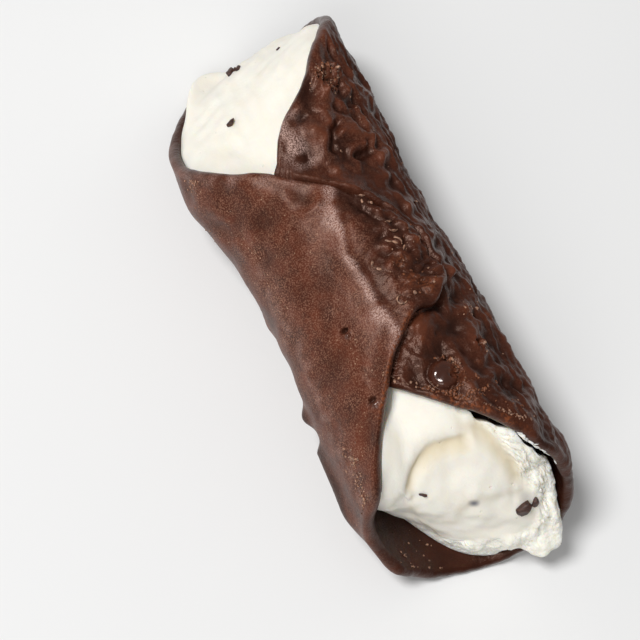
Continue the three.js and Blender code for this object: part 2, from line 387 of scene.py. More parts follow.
def lumps_and_folds(turn, y):
    """Soft lumps all over, and the folds and wrinkles of each part of the sheet."""
    s = turn * ARC
    calm, right, far_folds = calmness(turn, y), zone("right side", turn, y), zone("far side", turn, y)
    uneven = 0.25 + 0.95 * np.clip(0.5 + 0.55 * ripples(s, 0.6 * y, 8, 17), 0, 1)
    folded_sides = far_folds + zone("near lumps", turn, y)
    beside_seam = hill((past_flap(turn, y)[2] - 2.5) / 2.5) * (turn < UNDER_FLAP) * rise(-22, -16, y)
    return sum([
        0.22 * ripples(s, y, 6, 3) * (1 - 0.25 * calm),
        0.27 * ripples(s, 0.7 * y, 3.2, 4) * (1 - 0.86 * calm) * (1 - 0.6 * right),
        0.36 * ridges(s, 0.14 * y, 2.2, 5) * right * uneven,
        0.17 * ridges(s, 0.22 * y, 1.1, 16) * right * fall(-74, -64, turn),
        zone("flap end", turn, y) * (0.12 * ripples(s, y, 1.2, 10) - 0.42 * ridges(s, y, 2.6, 9)),
        0.17 * zone("wrinkled", turn, y) * ripples(s, 0.8 * y, 3.2, 24),
        -0.1 * ridges(s, y, 1.9, 6) * (1 - 0.93 * calm),
        0.035 * ripples(s, y, 0.9, 7) * (1 - 0.8 * calm),
        folded_sides * (0.34 * ripples(s, y, 4.6, 18) + 0.16 * ripples(s, y, 2.2, 19)),
        0.4 * beside_seam * ripples(s, y, 2.4, 20),
        blister_relief(turn, y, seed=8, count=120) * (1 - 0.85 * right) * (1 - 0.9 * far_folds),
    ])


# %% The relief of the outer face
def coat_relief(turn, y):
    s = turn * ARC
    height = lumps_and_folds(turn, y)

    # the long soft ridge of the flap: a gentle slope before it, a steeper fall after it
    away, side = distance_on_sheet(turn, y, RIDGE)
    after = (side > 0) * rise(0, 2.4, away) * fall(6, 12, away)
    height += 0.36 * zone("flap top", turn, y) * (hill(away / np.where(side < 0, 2.6, 1.0)) - after)

    # dent, pits and their raised lips
    du, dv = from_place(turn, y, ROUND_DENT)
    away = np.hypot(du, dv)
    height += 0.24 * hill((away - 2.6) / 0.6) * rise(0.3, -1.8, dv) - 0.5 * hill(away / 1.9)
    for pit, depth in ((PIT, 1.8), (LOW_PIT, 1.6)):
        du, dv = from_place(turn, y, pit)
        height += 0.75 * bump(du, dv, (0.3, -1.3), 0.85) - depth * bump(du, 1.7 * dv, (0, 0), 1.25)

    # small hollows, crevices, and thin folds that each have a sharp crest
    for *place, reach, reach_y, depth in HOLLOWS:
        du, dv = from_place(turn, y, place)
        height += depth * np.exp(-((du / reach) ** 2) - (dv / reach_y) ** 2)
    for path, width, depth in CREVICES:
        away = distance_on_sheet(turn, y, path)[0] / width
        height += depth * (0.35 * hill(away - 1.8) - hill(away))
    for fold in LONG_FOLDS:
        away = distance_on_sheet(turn, y, fold)[0]
        height += 0.38 * np.exp(-away / 0.45) + 0.22 * hill(away / 1.5)

    # the big burst blister: a glassy dome in a moat, torn open on its right side
    du, dv = from_place(turn, y, BIG_BLISTER)
    away = np.hypot(du, dv) / BLISTER_REACH
    crumbly = 0.6 + 0.5 * ripples(s, y, 0.6, 12)
    dome = (1.3 + 0.12 * ripples(s, y, 1.9, 15)) * np.maximum(0, 1 - away**2) ** 0.65
    rim = 0.4 * hill((away - 1.25) / 0.12) * crumbly * rise(0.5, 3, 0.8 * du + 0.6 * dv)
    height = height * rise(0.85, 1.3, away) + dome + rim - 0.5 * hill((away - 1.1) / 0.1)
    height += (0.5 * crumbly - 1.1) * bump(du, dv, TORN_PLACE, TORN_REACH)

    # craters with crumbly lips
    for *place, reach in CRATERS:
        away = np.hypot(*from_place(turn, y, place)) / reach
        lip = hill((away - 1.35) / 0.35) * (0.7 + 0.5 * ripples(s, y, 0.7, 13))
        rough = 0.3 * ripples(s, y, 0.8, 14) * fall(1.0, 1.6, away)
        height += 0.5 * lip - 1.1 * np.maximum(0, 1 - away**2) + rough
    return height


# %% What the coat does at the flap's edges and at the rims
def seam_relief(turn, y):
    """Height of the set chocolate beside the flap, and how the flap's own edges sink or lift."""
    far, near, end = past_flap(turn, y)
    beside_far = hill(np.maximum(far, 0) / 2.2) * (near < 0) * (end < 3)
    beside_end = hill(np.maximum(end, 0) / 4.5) * fall(-1, 3, far) * fall(-4, -1, near)
    merged = 1.9 + 0.8 * rise(-8, -3, y)
    fillet = np.maximum(1.5 * beside_far, merged * beside_end)
    under_near = -0.75 * hill((near + 1.0) / 2.0) * (far < 0) * (end < 0)
    beside = np.where(turn < UNDER_FLAP, fillet + under_near, 0)

    reach_far = (back_rim(turn) - y) * RIM_SLANT
    reach_near = (front_rim(turn) + y) * RIM_SLANT
    sink = -1.35 * rise(168, 180, turn) * fall(0.5, 5, reach_far)
    sink = np.minimum(sink, -1.5 * rise(224, 238, turn) * rise(1.5, 5, reach_near))
    lift = 0.55 * rise(172, 186, turn) * fall(0.5, 5, reach_near)
    return beside, sink + lift


def outer_radius(turn, y):
    """The coat's outer face: the roll, the climb of the outer turn and all relief."""
    angle = turn + TONGUE_ANGLE
    beside, sink = seam_relief(turn, y)
    bare = 1 - covered(turn, y)
    even = 0.35 + 0.65 * rise(0, 4, np.minimum(front_rim(turn) + y, back_rim(turn) - y))
    relief = coat_relief(turn, y) * bare * even + beside * bare + sink + ledge_frill(turn, y)
    flat_foot = rise(150, 172, np.abs(folded(angle)))
    hidden = UNDER_FLAP_SINK * (1 - bare)
    return turn_radius(angle, y) + climb(turn) + relief * (1 - flat_foot) - hidden


# %% [markdown]
# ## The shell's mesh
# A sheet with two faces and round rims could be a plane with a Solidify modifier, but its
# faces need different relief and its rims need their own roundness. So it is swept: one
# closed loop of points runs along the outer face, over the back rim, back along the inner
# face and over the front rim, and a loop stands at every turn angle.

# %% How fine the mesh is
OUTER_STEPS = 250
INNER_STEPS = 28
RIM_STEPS = 7
TURN_STEPS = [
    # (up to this turn angle, degrees a step)
    (-172, 2.8), (-66, 0.95), (-6, 1.8), (72, 3.0), (104, 1.7), (118, 1.0), (170, 1.6),
    (SHEET_ENDS - EDGE_ROUNDING, 0.9),
]


def turn_places():
    """Turn angles of the loops, and the share of full thickness at each."""
    turns = [SHEET_BEGINS + EDGE_ROUNDING]
    for stop, step in TURN_STEPS:
        count = round((stop - turns[-1]) / step)
        turns += list(np.linspace(turns[-1], stop, count + 1)[1:])
    t = np.linspace(0, 1, 9)[:-1]
    share = np.sqrt(1 - (0.97 * (1 - t)) ** 2)
    first = SHEET_BEGINS + EDGE_ROUNDING * t**2
    last = SHEET_ENDS - EDGE_ROUNDING * t[::-1] ** 2
    places = np.concatenate([first, turns, last])
    thick = np.concatenate([share, np.ones(len(turns)), share[::-1]])
    return places, thick


def rim_wobble(turn, seed):
    s = turn * ARC
    uneven = 0.16 * ripples(s, 0, 5, seed) + 0.04 * ripples(s, 0, 1.6, seed + 1)
    uneven = uneven + 0.5 * rise(206, 214, turn) * ripples(s, 0, 1.9, seed + 2)
    return uneven * rise(SHEET_BEGINS, SHEET_BEGINS + 14, turn) * rise(SHEET_ENDS, SHEET_ENDS - 6, turn)


# %% The loops of the sheet
def sheet_loops():
    turn, thick = turn_places()
    turn, thick = turn[:, None], thick[:, None]
    front = -front_rim(turn) + rim_wobble(turn, 21)
    back = back_rim(turn) + rim_wobble(turn, 23)
    rounding = 0.45 * SHEET_THICKNESS * thick
    even = np.linspace(0, 1, OUTER_STEPS)[None]
    eased = (1 - np.cos(np.pi * np.linspace(0, 1, INNER_STEPS)))[None] / 2
    low, high = front + rounding, back - rounding
    over = np.radians(np.linspace(-90, 90, RIM_STEPS + 2)[1:-1])[None]
    y = np.concatenate([
        low + (high - low) * even,
        high + rounding * np.cos(over),
        high + (low - high) * eased,
        low - rounding * np.cos(over),
    ], axis=1)
    depth = np.concatenate([
        0.5 + 0 * even, -0.5 * np.sin(over), -0.5 + 0 * eased, 0.5 * np.sin(over),
    ], axis=1)
    outward = depth + 0.5
    angle = turn + TONGUE_ANGLE
    crest = turn_radius(angle, y) + climb(turn)
    inner = np.minimum(0.12 * ripples(turn * ARC, y, 4, 31) * (y < 0), 0.1)
    inner = inner + 0.8 * np.minimum(seam_relief(turn, y)[1], 0)
    radius = crest - SHEET_THICKNESS / 2 + depth * thick * SHEET_THICKNESS
    radius = radius + outward * (outer_radius(turn, y) - crest) + (1 - outward) * inner
    return on_roll(angle + 0 * y, y, radius), turn + 0 * y, y, outward


loops, loop_turn, loop_y, loop_outward = sheet_loops()
print("loops:", loops.shape[0], "of", loops.shape[1], "points")


# %% Making a mesh piece
def make_piece(name, points, faces, attributes=None):
    """A mesh from points in millimetres, with a number per point for each attribute."""
    mesh = bpy.data.meshes.new(name)
    mesh.from_pydata(((points + ORIGIN_SHIFT) * MM).tolist(), [], faces)
    for key, values in (attributes or {}).items():
        padded = np.zeros(len(points), np.float32)
        padded[:np.size(values)] = np.ravel(values)
        mesh.attributes.new(key, "FLOAT", "POINT").data.foreach_set("value", padded)
    mesh.validate()
    mesh.shade_smooth()
    piece = bpy.data.objects.new(name, mesh)
    bpy.context.scene.collection.objects.link(piece)
    print(name, len(mesh.vertices), "points,", sum(len(p.vertices) - 2 for p in mesh.polygons), "triangles")
    return piece


def skin(loops):
    """Points and faces through rings of equally many points, each end fanned shut."""
    count, sides = loops.shape[:2]
    grid = np.arange(count * sides).reshape(count, sides)
    after = np.roll(grid, -1, axis=1)
    faces = np.stack([grid[:-1], after[:-1], after[1:], grid[1:]], axis=-1).reshape(-1, 4).tolist()
    points = np.concatenate([loops.reshape(-1, 3), [loops[0].mean(axis=0), loops[-1].mean(axis=0)]])
    first, last = grid.size, grid.size + 1
    faces += [[first, int(q), int(p)] for p, q in zip(grid[0], after[0])]
    faces += [[last, int(p), int(q)] for p, q in zip(grid[-1], after[-1])]
    return points, faces


# %% [markdown]
# ## Where the coat takes a painted highlight, thins and shines
# The material needs to know where each finish lies: a highlight painted in fine grains like
# fat bloom, along the lit ridge; powder, the fine crumbs on the flap; a coat so thin over a
# sharp edge that the fried dough shows orange; and a blister's glassy skin. Painting them by
# hand would be lost with each new mesh, so each is a number at every mesh point, from the
# same named places.


# %% Finishes at each point of the coat
# where a highlight is painted: along the lit ridge, at the far left, by the far rim and low on the left of
# the flap
def painted_highlight_at(turn, y):
    away, side = distance_on_sheet(turn, y, RIDGE)
    flap = zone("flap top", turn, y)
    cloud = 0.45 + 0.5 * ripples(turn * ARC, y, 2.2, 41)
    near_end = hill((y + 12) / 4.5)
    reach = 0.9 + 1.9 * hill((y - 11.5) / 6) + 2.0 * near_end
    strength = 0.3 + 0.7 * hill((y - 12) / 5) + 0.7 * near_end
    left = hill(away / np.where(side < 0, reach, 0.8)) * flap * strength * (0.35 + cloud)
    crest = 0.7 * hill(away / 0.7) * flap * (0.4 + cloud)
    far_left = hill((turn + 164) * ARC / 2.6) * zone("far highlight", turn, y)
    rim = 0.35 * flap * fall(1, 5, back_rim(turn) - y) * fall(196, 212, turn)
    low_left = 0.35 * hill((turn - 138) * ARC / 3.0) * (y < 12)
    return left + crest + far_left * (0.4 + cloud) + (rim + low_left) * cloud


def powder_at(turn, y):
    """Fine powder of crumbs that stuck to the flap, thickest on its left shoulder."""
    on_flap = zone("powdered", turn, y)
    shoulder = np.exp(-(((turn - 140) * ARC / 4.5) ** 2) - ((y - 3) / 14) ** 2)
    clouds = 0.1 * ripples(turn * ARC, y, 3.5, 46) * on_flap
    return 0.12 + 0.5 * on_flap + 0.5 * shoulder + 0.22 * zone("far side", turn, y) + clouds


def thin_coat_at(turn, y):
    s = turn * ARC
    from_front = front_rim(turn) + y
    near_rim = fall(0.5, 2.6, from_front) * zone("near rim", turn, y)
    near_rim = near_rim * np.clip(0.8 + 0.6 * ripples(s, y, 1.8, 47), 0, 1)
    flap_rim = fall(0.3, 1.8, from_front) * rise(166, 176, turn) * fall(204, 212, turn)
    rough = sum(bump(*from_place(turn, y, spot), (0, 0), spot[2] * SPOT_FADE) for spot in ROUGH_SPOTS)
    lumps = 0.14 * rise(1.2, 2.4, ripples(s, y, 1.4, 43)) * (1 - calmness(turn, y))
    return near_rim + flap_rim + 0.42 * rough + lumps


def glassy_at(turn, y):
    du, dv = from_place(turn, y, BIG_BLISTER)
    dome = 2.2 * bump(du, dv, (-0.5, 0), BLISTER_REACH) - 1.2 * bump(du, dv, TORN_PLACE, TORN_REACH)
    lips = sum(bump(*from_place(turn, y, pit), (0.3, -1.4), 0.9) for pit in (PIT, LOW_PIT))
    return dome + 0.8 * lips


# %% The shell piece, with a number for each finish at each point
INNER_SHADE = 0.45
# height of the lumps: it paints shade in the hollows and a thin redder coat, partly a painted highlight, on
# the crests; the inner face gets painted shade
relief = np.clip(coat_relief(loop_turn, loop_y) - 0.5 * ledge_frill(loop_turn, loop_y), -1.2, 1.2)
relief = relief * (1 - covered(loop_turn, loop_y))
finishes = {"relief": relief * loop_outward - INNER_SHADE * (1 - loop_outward)}
PAINTED = {"bloom": painted_highlight_at, "powder": powder_at, "thin_coat": thin_coat_at, "glassy": glassy_at}
for finish, at in PAINTED.items():
    finishes[finish] = np.clip(at(loop_turn, loop_y), 0, 1) * loop_outward
shell = make_piece("shell_of_dough", *skin(loops), finishes)
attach(shell, "root")
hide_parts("shell")

# %% [markdown]
# ## Colours and nodes
# Colours are noted as sRGB hex, as a colour picker shows them, but shaders work with linear
# light. One function turns one into the other. Another adds a node with its settings and
# links in one call. A recipe then names the few nodes that every finish is mixed from, so
# a finish reads from top to bottom like a list of ingredients.


# %% Helpers for materials
def paint(hex_colour):
    parts = [int(hex_colour[i:i + 2], 16) / 255 for i in (1, 3, 5)]
    return tuple(p / 12.92 if p <= 0.04045 else ((p + 0.055) / 1.055) ** 2.4 for p in parts) + (1.0,)


def node(tree, kind, inputs=None, **settings):
    """Adds a node. An input is a plain value, or another node's output to link."""
    made = tree.nodes.new(kind)
    for name, value in settings.items():
        setattr(made, name, value)
    for name, value in (inputs or {}).items():
        if isinstance(value, bpy.types.NodeSocket):
            tree.links.new(value, made.inputs[name])
        else:
            made.inputs[name].default_value = value
    return made


# %% A recipe for a finish
class Recipe:
    """A new material. Each call adds a node to it and gives that node's output."""

    def __init__(self, name):
        self.material = bpy.data.materials.new(name)
        self.material.use_nodes = True
        self.tree = self.material.node_tree
        self.tree.nodes.clear()
        self.place = node(self.tree, "ShaderNodeTexCoord").outputs["Object"]

    def painted(self, attribute):
        return node(self.tree, "ShaderNodeAttribute", attribute_name=attribute).outputs["Fac"]

    def lumps(self, size_mm, detail, roughness=0.5):
        """Noise with one lump about every `size_mm`."""
        inputs = {"Vector": self.place, "Scale": 1 / (size_mm * MM)}
        inputs.update({"Detail": detail, "Roughness": roughness})
        return node(self.tree, "ShaderNodeTexNoise", inputs).outputs["Fac"]

    def grains(self, size_mm):
        """The distance to the nearest of many points, and that point's random lot from 0 to 1."""
        made = node(self.tree, "ShaderNodeTexVoronoi", {"Vector": self.place, "Scale": 1 / (size_mm * MM)})
        lot = node(self.tree, "ShaderNodeSeparateColor", {"Color": made.outputs["Color"]})
        return made.outputs["Distance"], lot.outputs["Red"]

    def remap(self, value, low, high, top=1.0, bottom=0.0):
        inputs = {"Value": value, "From Min": low, "From Max": high, "To Min": bottom, "To Max": top}
        return node(self.tree, "ShaderNodeMapRange", inputs).outputs["Result"]

    def mix(self, share, first, second):
        first, second = [paint(c) if isinstance(c, str) else c for c in (first, second)]
        made = node(self.tree, "ShaderNodeMix", {0: share, 6: first, 7: second}, data_type="RGBA")
        return made.outputs[2]

    def times(self, first, second, plus=0.0, clamp=False):
        made = node(self.tree, "ShaderNodeMath", {0: first, 1: second, 2: plus}, operation="MULTIPLY_ADD")
        made.use_clamp = clamp
        return made.outputs[0]

    def bump(self, height, strength, distance_mm, over=None):
        inputs = {"Height": height, "Strength": strength, "Distance": distance_mm * MM}
        if over is not None:
            inputs["Normal"] = over
        return node(self.tree, "ShaderNodeBump", inputs).outputs["Normal"]

    def finished(self, inputs):
        shader = node(self.tree, "ShaderNodeBsdfPrincipled", inputs)
        node(self.tree, "ShaderNodeOutputMaterial", {"Surface": shader.outputs["BSDF"]})
        print("material:", self.material.name, len(self.tree.nodes), "nodes")
        return self.material


# %% [markdown]
# ## Dark chocolate
# Tempered dark chocolate sets satin-smooth over fried dough. The eye sees a warm brown body
# with a soft wide gloss, a highlight along the lit ridge painted in fine grains like fat bloom,
# an orange crust where the coat is thin, and tiny glints, painted as light spots, where crumbs
# break the surface. Its index of refraction is about 1.5. Real fat bloom grains are about
# 0.1 mm, too fine to show, so the painted highlight's grains are drawn at about 0.3 mm.

# %% The dark chocolate material
GRAIN_MM = 0.3
HIGHLIGHT_GRAIN_MM = 0.24
SPOT_MM = 0.62
MOTTLE_MM = 5
PATCH_MM = 2.6
PORE_MM = 1.3
CRUST_MM = 0.7
CHOCOLATE_IOR = 1.5


def dark_chocolate():
    r = Recipe("dark_chocolate_couverture")
    bloom, powder, thin = r.painted("bloom"), r.painted("powder"), r.painted("thin_coat")
    glassy, relief = r.painted("glassy"), r.painted("relief")
    grain, fried = r.lumps(GRAIN_MM, 2.0), r.lumps(CRUST_MM, 3.0)

    # body colour, deeper and lighter in soft clouds, with a fine powdery grain
    clouds = r.remap(r.lumps(MOTTLE_MM, 3.0), 0.3, 0.7)
    body = r.mix(clouds, "#3b190f", "#5e2c1b")
    body = r.mix(r.remap(r.lumps(PATCH_MM, 4.0), 0.5, 0.66, top=0.5), body, "#2c140d")
    body = r.mix(r.remap(powder, 0.5, 0.15, top=0.6), body, "#351b12")
    body = r.mix(r.times(r.remap(grain, 0.47, 0.64), powder), body, "#865d4a")

    # light spots for crumbs of sugar and crust, painted bright as glints, more of them in the light clouds
    distance, lot = r.grains(SPOT_MM)
    chosen = r.remap(r.times(clouds, 0.3, lot), 1.02, 1.16)
    glint = r.times(r.remap(distance, 0.3, 0.16), chosen)
    body = r.mix(r.times(glint, powder), body, "#b8957a")

    # painted shade in the hollows and on the inner face, a thin redder coat on the crests that is partly
    # painted highlight, the blister a dark skin
    body = r.mix(r.remap(relief, 0.05, -0.8, top=0.75), body, "#22100b")
    body = r.mix(r.remap(relief, 0.3, 1.1, top=0.5), body, "#6b3a27")
    body = r.mix(r.times(glassy, 0.75), body, "#2b130c")

    # painted highlight along the lit ridge, drawn like fat bloom: a thin haze, and over it grains
    highlight_grains = r.times(r.remap(r.lumps(HIGHLIGHT_GRAIN_MM, 1.0), 0.42, 0.62, bottom=0.08), bloom)
    body = r.mix(highlight_grains, body, "#b3948a")

    # thin coat: fried dough glows orange through it in crumbs
    crust = r.times(r.remap(fried, 0.47, 0.6, bottom=0.12), thin)
    body = r.mix(crust, body, "#854625")

    # gloss: satin, duller with powder, the painted highlight and crust, almost wet on the blister
    gloss = 0.28
    for finish, duller in ((powder, 0.2), (highlight_grains, 0.12), (crust, 0.15), (glassy, -0.2)):
        gloss = r.times(finish, duller, gloss)

    # fine relief: pores of the set chocolate, crumbs where it is thin, and its grain
    pitted = r.times(glassy, -0.6, r.times(powder, -0.6, 0.7), clamp=True)
    surface = r.bump(r.lumps(PORE_MM, 4.0, 0.6), pitted, 0.35)
    surface = r.bump(fried, thin, 0.5, surface)
    surface = r.bump(grain, r.times(glassy, -0.5, 0.55), 0.1, surface)
    return r.finished({
        "Base Color": body, "Roughness": gloss, "Normal": surface, "IOR": CHOCOLATE_IOR,
        "Specular IOR Level": 0.34, "Specular Tint": paint("#ffd8c6"),
        "Coat Weight": glassy, "Coat Roughness": 0.15,
    })


shell.data.materials.append(dark_chocolate())

# %% [markdown]
# ## The filling
# The filling runs right through the shell and swells out at both mouths. Its ends can't be
# a flat disc, because the mouths are cut on a slant and curve in every direction. Each end
# is a film stretched over the closed edge loop, as soap film stretches over a wire: every
# wave in the loop dies away toward the middle, the finer the sooner. The piping nozzle's
# swirl, the creases and the crumbly part are then raised along the film's own normal.

# %% Sizes of the filling
CREAM_INSET = 1.2
CREAM_SIDES = 390
FRONT_RINGS = 146
BACK_RINGS = 70
CREAM_WALL_STEPS = 32
HOLLOW_DEPTH = 14
FRONT_BULGE = 5.2
BACK_BULGE = 4.6
CENTRE_OUT = 0.008
EDGE_PRESSED = 0.3
BULGE_POWER = 2.4
RELIEF_FADE = 14
# each swell: its direction, half angle and size in mm
FRONT_EDGE_SWELLS = [(228, 38, -14), (119, 18, 4.8), (146, 9, -1.6), (60, 30, -1.2)]


def under_outer_turn(angle, y):
    """1 where only the raised outer turn covers the cream, 0 under the inner turn."""
    inner_turn = folded(angle - TONGUE_ANGLE + 180) - 180
    rim = np.where(y < 0, front_rim(inner_turn), back_rim(inner_turn))
    beyond = rise(rim + EDGE_ROOM_ALONG, rim + EDGE_ROOM_ALONG + EDGE_ROOM_FADE, np.abs(y))
    start = SHEET_BEGINS - EDGE_ROOM_ROUND
    before = fall(start - EDGE_ROOM_FADE, start, inner_turn)
    return np.where(inner_turn > -180, 0, np.maximum(beyond, before))


def cream_radius(angle, y):
    room = climb(folded(angle - TONGUE_ANGLE)) * under_outer_turn(angle, y)
    return turn_radius(angle, y) - SHEET_THICKNESS - CREAM_GAP + room


def front_edge(angle):
    """Where the filling meets the shell in front: the tongue's lower left is bare, and it
    slumps past the rim at the lower right."""
    edge = front_rim(folded(angle - TONGUE_ANGLE)) - CREAM_INSET + swellings(FRONT_EDGE_SWELLS, angle)
    s = angle * ARC
    ragged = 0.35 * ripples(s, 0, 1.6, 51) + 0.5 * ripples(s, 0, 4, 52)
    return edge + swelling(70, 60, 1, angle) * ragged


def arm_gap(angle):
    """How far the filling stands off the shell in front: a little at the right arm, and a
    hollow under the roof where the spoon took some away."""
    width = 1.2 * rise(-6, 22, folded(angle)) * fall(84, 112, folded(angle))
    pocket = swellings([(14, 15, 1.3), (28, 5, -0.9)], angle)
    return width + pocket + swelling(20, 32, 0.3, angle) * ripples(angle * ARC, 0, 1.5, 54)


def back_edge(angle):
    edge = back_rim(folded(angle - TONGUE_ANGLE)) - CREAM_INSET
    return edge + 0.25 * ripples(angle * ARC, 0, 4, 53)


# %% The stretched film
def stretched_film(loop, outs):
    """Rings of points: the loop itself at out = 1, shrinking to its middle at out = 0."""
    waves = np.fft.rfft(loop, axis=0)
    number = np.arange(len(waves))
    fading = outs[:, None, None] ** number[None, :, None]
    return np.fft.irfft(waves[None] * fading, n=len(loop), axis=1)


def film_normals(rings, outward):
    around = np.roll(rings, -1, axis=1) - np.roll(rings, 1, axis=1)
    across = np.gradient(rings, axis=0)
    normal = np.cross(around, across)
    normal /= np.linalg.norm(normal, axis=-1, keepdims=True) + 1e-12
    facing = np.sign(normal[..., 1:2] * outward)
    return normal * np.where(facing == 0, 1, facing)


# %% Named places on the front of the filling: (across, above the roll's axis)
SWIRL_GROOVE = [
    (1.6, 14.3), (0.2, 13.8), (-1.3, 13.3), (-3.0, 12.7), (-5.0, 12.1), (-7.0, 11.3), (-9.3, 10.0),
    (-10.8, 8.9), (-11.7, 7.8), (-12.5, 6.3), (-12.8, 4.0),
]
TERRACE = [
    (1.2, 16.4), (3.0, 15.2), (4.7, 14.0), (6.9, 11.4), (8.0, 10.0), (8.5, 7.8), (8.4, 5.6),
]
DOME_FOOT = [
    (8.2, 5.6), (6.6, 4.7), (4.0, 4.2), (0.9, 4.6), (-1.5, 4.0), (-3.0, 0.8), (-3.4, -2.6),
    (-3.2, -5.7),
]
LAYER_EDGE = [
    (-13, 3.0), (-11.6, 0.1), (-9.9, -5.9), (-7.6, -8.2), (-5.9, -11.4), (-4, -14),
]
TORN_EDGE = [
    (-6, 18.0), (-3, 17.2), (0, 16.7), (2.6, 16.0), (4.6, 15.0), (6.4, 13.2), (8.2, 10.6), (9.2, 7.9),
    (10.8, 5.0), (13.4, 2.6), (12.4, -0.8), (10.5, -4.4), (7.5, -6), (4.5, -7), (1.4, -8.6),
    (-2, -10.4), (-8, -14),
]
DOME = (-3.2, 5.6)


# %% The relief of the filling's two ends
def along_path(path, u, v, width):
    """1 on a broken line, falling off with distance, with both its ends faded."""
    away, side = distance_to_path(u, v, path)
    from_start = np.hypot(u - path[0][0], v - path[0][1])
    from_end = np.hypot(u - path[-1][0], v - path[-1][1])
    return hill(away / width) * rise(0, 2.5, from_start) * rise(0, 2.5, from_end), away, side


def crumbliness(x, up):
    """1 where the filling was torn by the spoon, on the right."""
    away, side = distance_to_path(x, up, TORN_EDGE)
    return rise(-0.7, 1.6, away * side)


def curds(x, up):
    """Torn cream: 1 on the curds, near 0 in the creases, drawn out along the tear."""
    drawn = 0.75 * x + 0.65 * up + 0.5 * ripples(x, up, 2.4, 68)
    wide = 0.45 * (0.65 * x - 0.75 * up) + 0.5 * ripples(x, up, 2.0, 69)
    return np.abs(ripples(drawn, wide, 0.85, 63)) + 0.4 * np.abs(ripples(drawn, wide * 1.6, 0.4, 64))


def front_relief(x, up):
    torn, low = crumbliness(x, up), rise(0, -5, up)
    height = 0.2 * ripples(x, up, 5, 61) + 0.04 * ripples(x, up, 1.6, 62)
    groove, away, side = along_path(SWIRL_GROOVE, x, up, 1.15)
    above = (side < 0) * rise(0, 0.8, away) * hill(away / 3.5) * rise(-13, -9, x) * fall(-1, 3, x)
    inside = np.maximum(0, 1 - np.hypot((x - DOME[0]) / 13, (up - DOME[1]) / 13) ** 2)
    height += 1.3 * inside**1.5 * (1 - 0.5 * torn) - 0.95 * groove + 0.35 * above
    # a spoon-smooth terrace right of the dome, the dome's foot, and the layer under it
    height -= 0.85 * along_path(TERRACE, x, up, 1.5)[0]
    away, side = distance_to_path(x, up, DOME_FOOT)
    foot = rise(-1.3, 1.6, away * side) * fall(1.8, 5, away) * fall(7, 9.5, x)
    height -= 0.42 * foot * rise(-6.5, -2, up)
    away, side = distance_to_path(x, up, LAYER_EDGE)
    height -= 0.4 * rise(-0.5, 0.9, -away * side) * fall(2.5, 5, away) * fall(-3, 0, x)
    lumps = 0.35 * ripples(x, up, 3.0, 65) + 0.25 * np.abs(ripples(x, up, 1.9, 60))
    torn_height = 0.36 * (1 - 0.7 * low) * curds(x, up) + lumps * (1 - 0.4 * low) - 0.5 * (1 - low)
    return height + torn * torn_height


def back_relief(x, up):
    height = 0.3 * ripples(x, up, 7, 66) + 0.08 * ripples(x, up, 2.2, 67)
    return height - 0.5 * bump(x, up, (-13.5, 9.0), 2.4)


# %% Both ends and the wall between them
def front_end(angle):
    y = -front_edge(angle)
    outs = np.linspace(CENTRE_OUT, 1, FRONT_RINGS) ** 0.85
    rings = stretched_film(on_roll(angle, y, cream_radius(angle, y) + EDGE_PRESSED - arm_gap(angle)), outs)
    out = outs[:, None]
    lip = hill((out - 0.9) / 0.09)
    slump = lip * swellings([(127, 11, 1.9), (95, 10, 0.9)], angle)
    slump = slump + hill((out - 0.84) / 0.2) * swelling(306, 50, 1.5, angle)
    rings[..., 1] -= FRONT_BULGE * (1 - out**BULGE_POWER) + slump
    rings[..., 2] -= lip * swelling(130, 10, 1.6, angle)
    height = front_relief(rings[..., 0], rings[..., 2] - AXIS_HEIGHT) * (1 - out**RELIEF_FADE)
    return rings + film_normals(rings, -1) * height[..., None]


def back_end(angle):
    y = back_edge(angle)
    outs = np.linspace(CENTRE_OUT, 1, BACK_RINGS) ** 0.8
    rings = stretched_film(on_roll(angle, y, cream_radius(angle, y) + EDGE_PRESSED), outs)
    out = outs[:, None]
    proud = swellings([(204, 27, 4.4), (128, 18, 0.5)], angle)
    notch = swelling(168.5, 6, 1.0, angle)
    shoulder = hill((out - 0.9) / 0.11) * (proud * (1 - notch) - 0.8 * notch)
    rings[..., 1] += BACK_BULGE * (1 - out**BULGE_POWER) + shoulder
    height = back_relief(rings[..., 0], rings[..., 2] - AXIS_HEIGHT) * (1 - out**RELIEF_FADE)
    return rings + film_normals(rings, 1) * height[..., None]


def cream_loops():
    angle = np.linspace(0, 360, CREAM_SIDES, endpoint=False)
    front, back = front_end(angle), back_end(angle)
    steps = (np.linspace(0, 1, CREAM_WALL_STEPS + 1)[1:-1, None]) ** 1.7
    y = front[-1, :, 1] * (1 - steps) + back[-1, :, 1] * steps
    behind = y - front[-1, :, 1]
    under_roof = rise(-12, 12, folded(angle)) * fall(70, 110, folded(angle))
    hollow = 2.6 * under_roof * rise(0.3, 3, behind)
    off_wall = (arm_gap(angle) + hollow) * fall(7, HOLLOW_DEPTH, behind)
    wall = on_roll(angle + 0 * y, y, cream_radius(angle[None], y) - off_wall)
    # painted shadow: the cream deep under the roof is painted dark brown
    pocket_shade = np.concatenate([0 * front[..., 0], under_roof * rise(0.1, 1.0, behind), 0 * back[..., 0]])
    return np.concatenate([front, wall, back[::-1]]), len(front), pocket_shade


# %% The filling's mesh, and the painted shade on it
cream_rings, front_count, cream_pocket_shade = cream_loops()
cream_points, cream_faces = skin(cream_rings[::-1])
across, above = cream_points[:, 0], cream_points[:, 2] - AXIS_HEIGHT
in_front = cream_points[:, 1] < 0
# where the cream was torn; the material paints this part whiter, standing in for light through the curds
torn_here = np.where(in_front, crumbliness(across, above), 0)
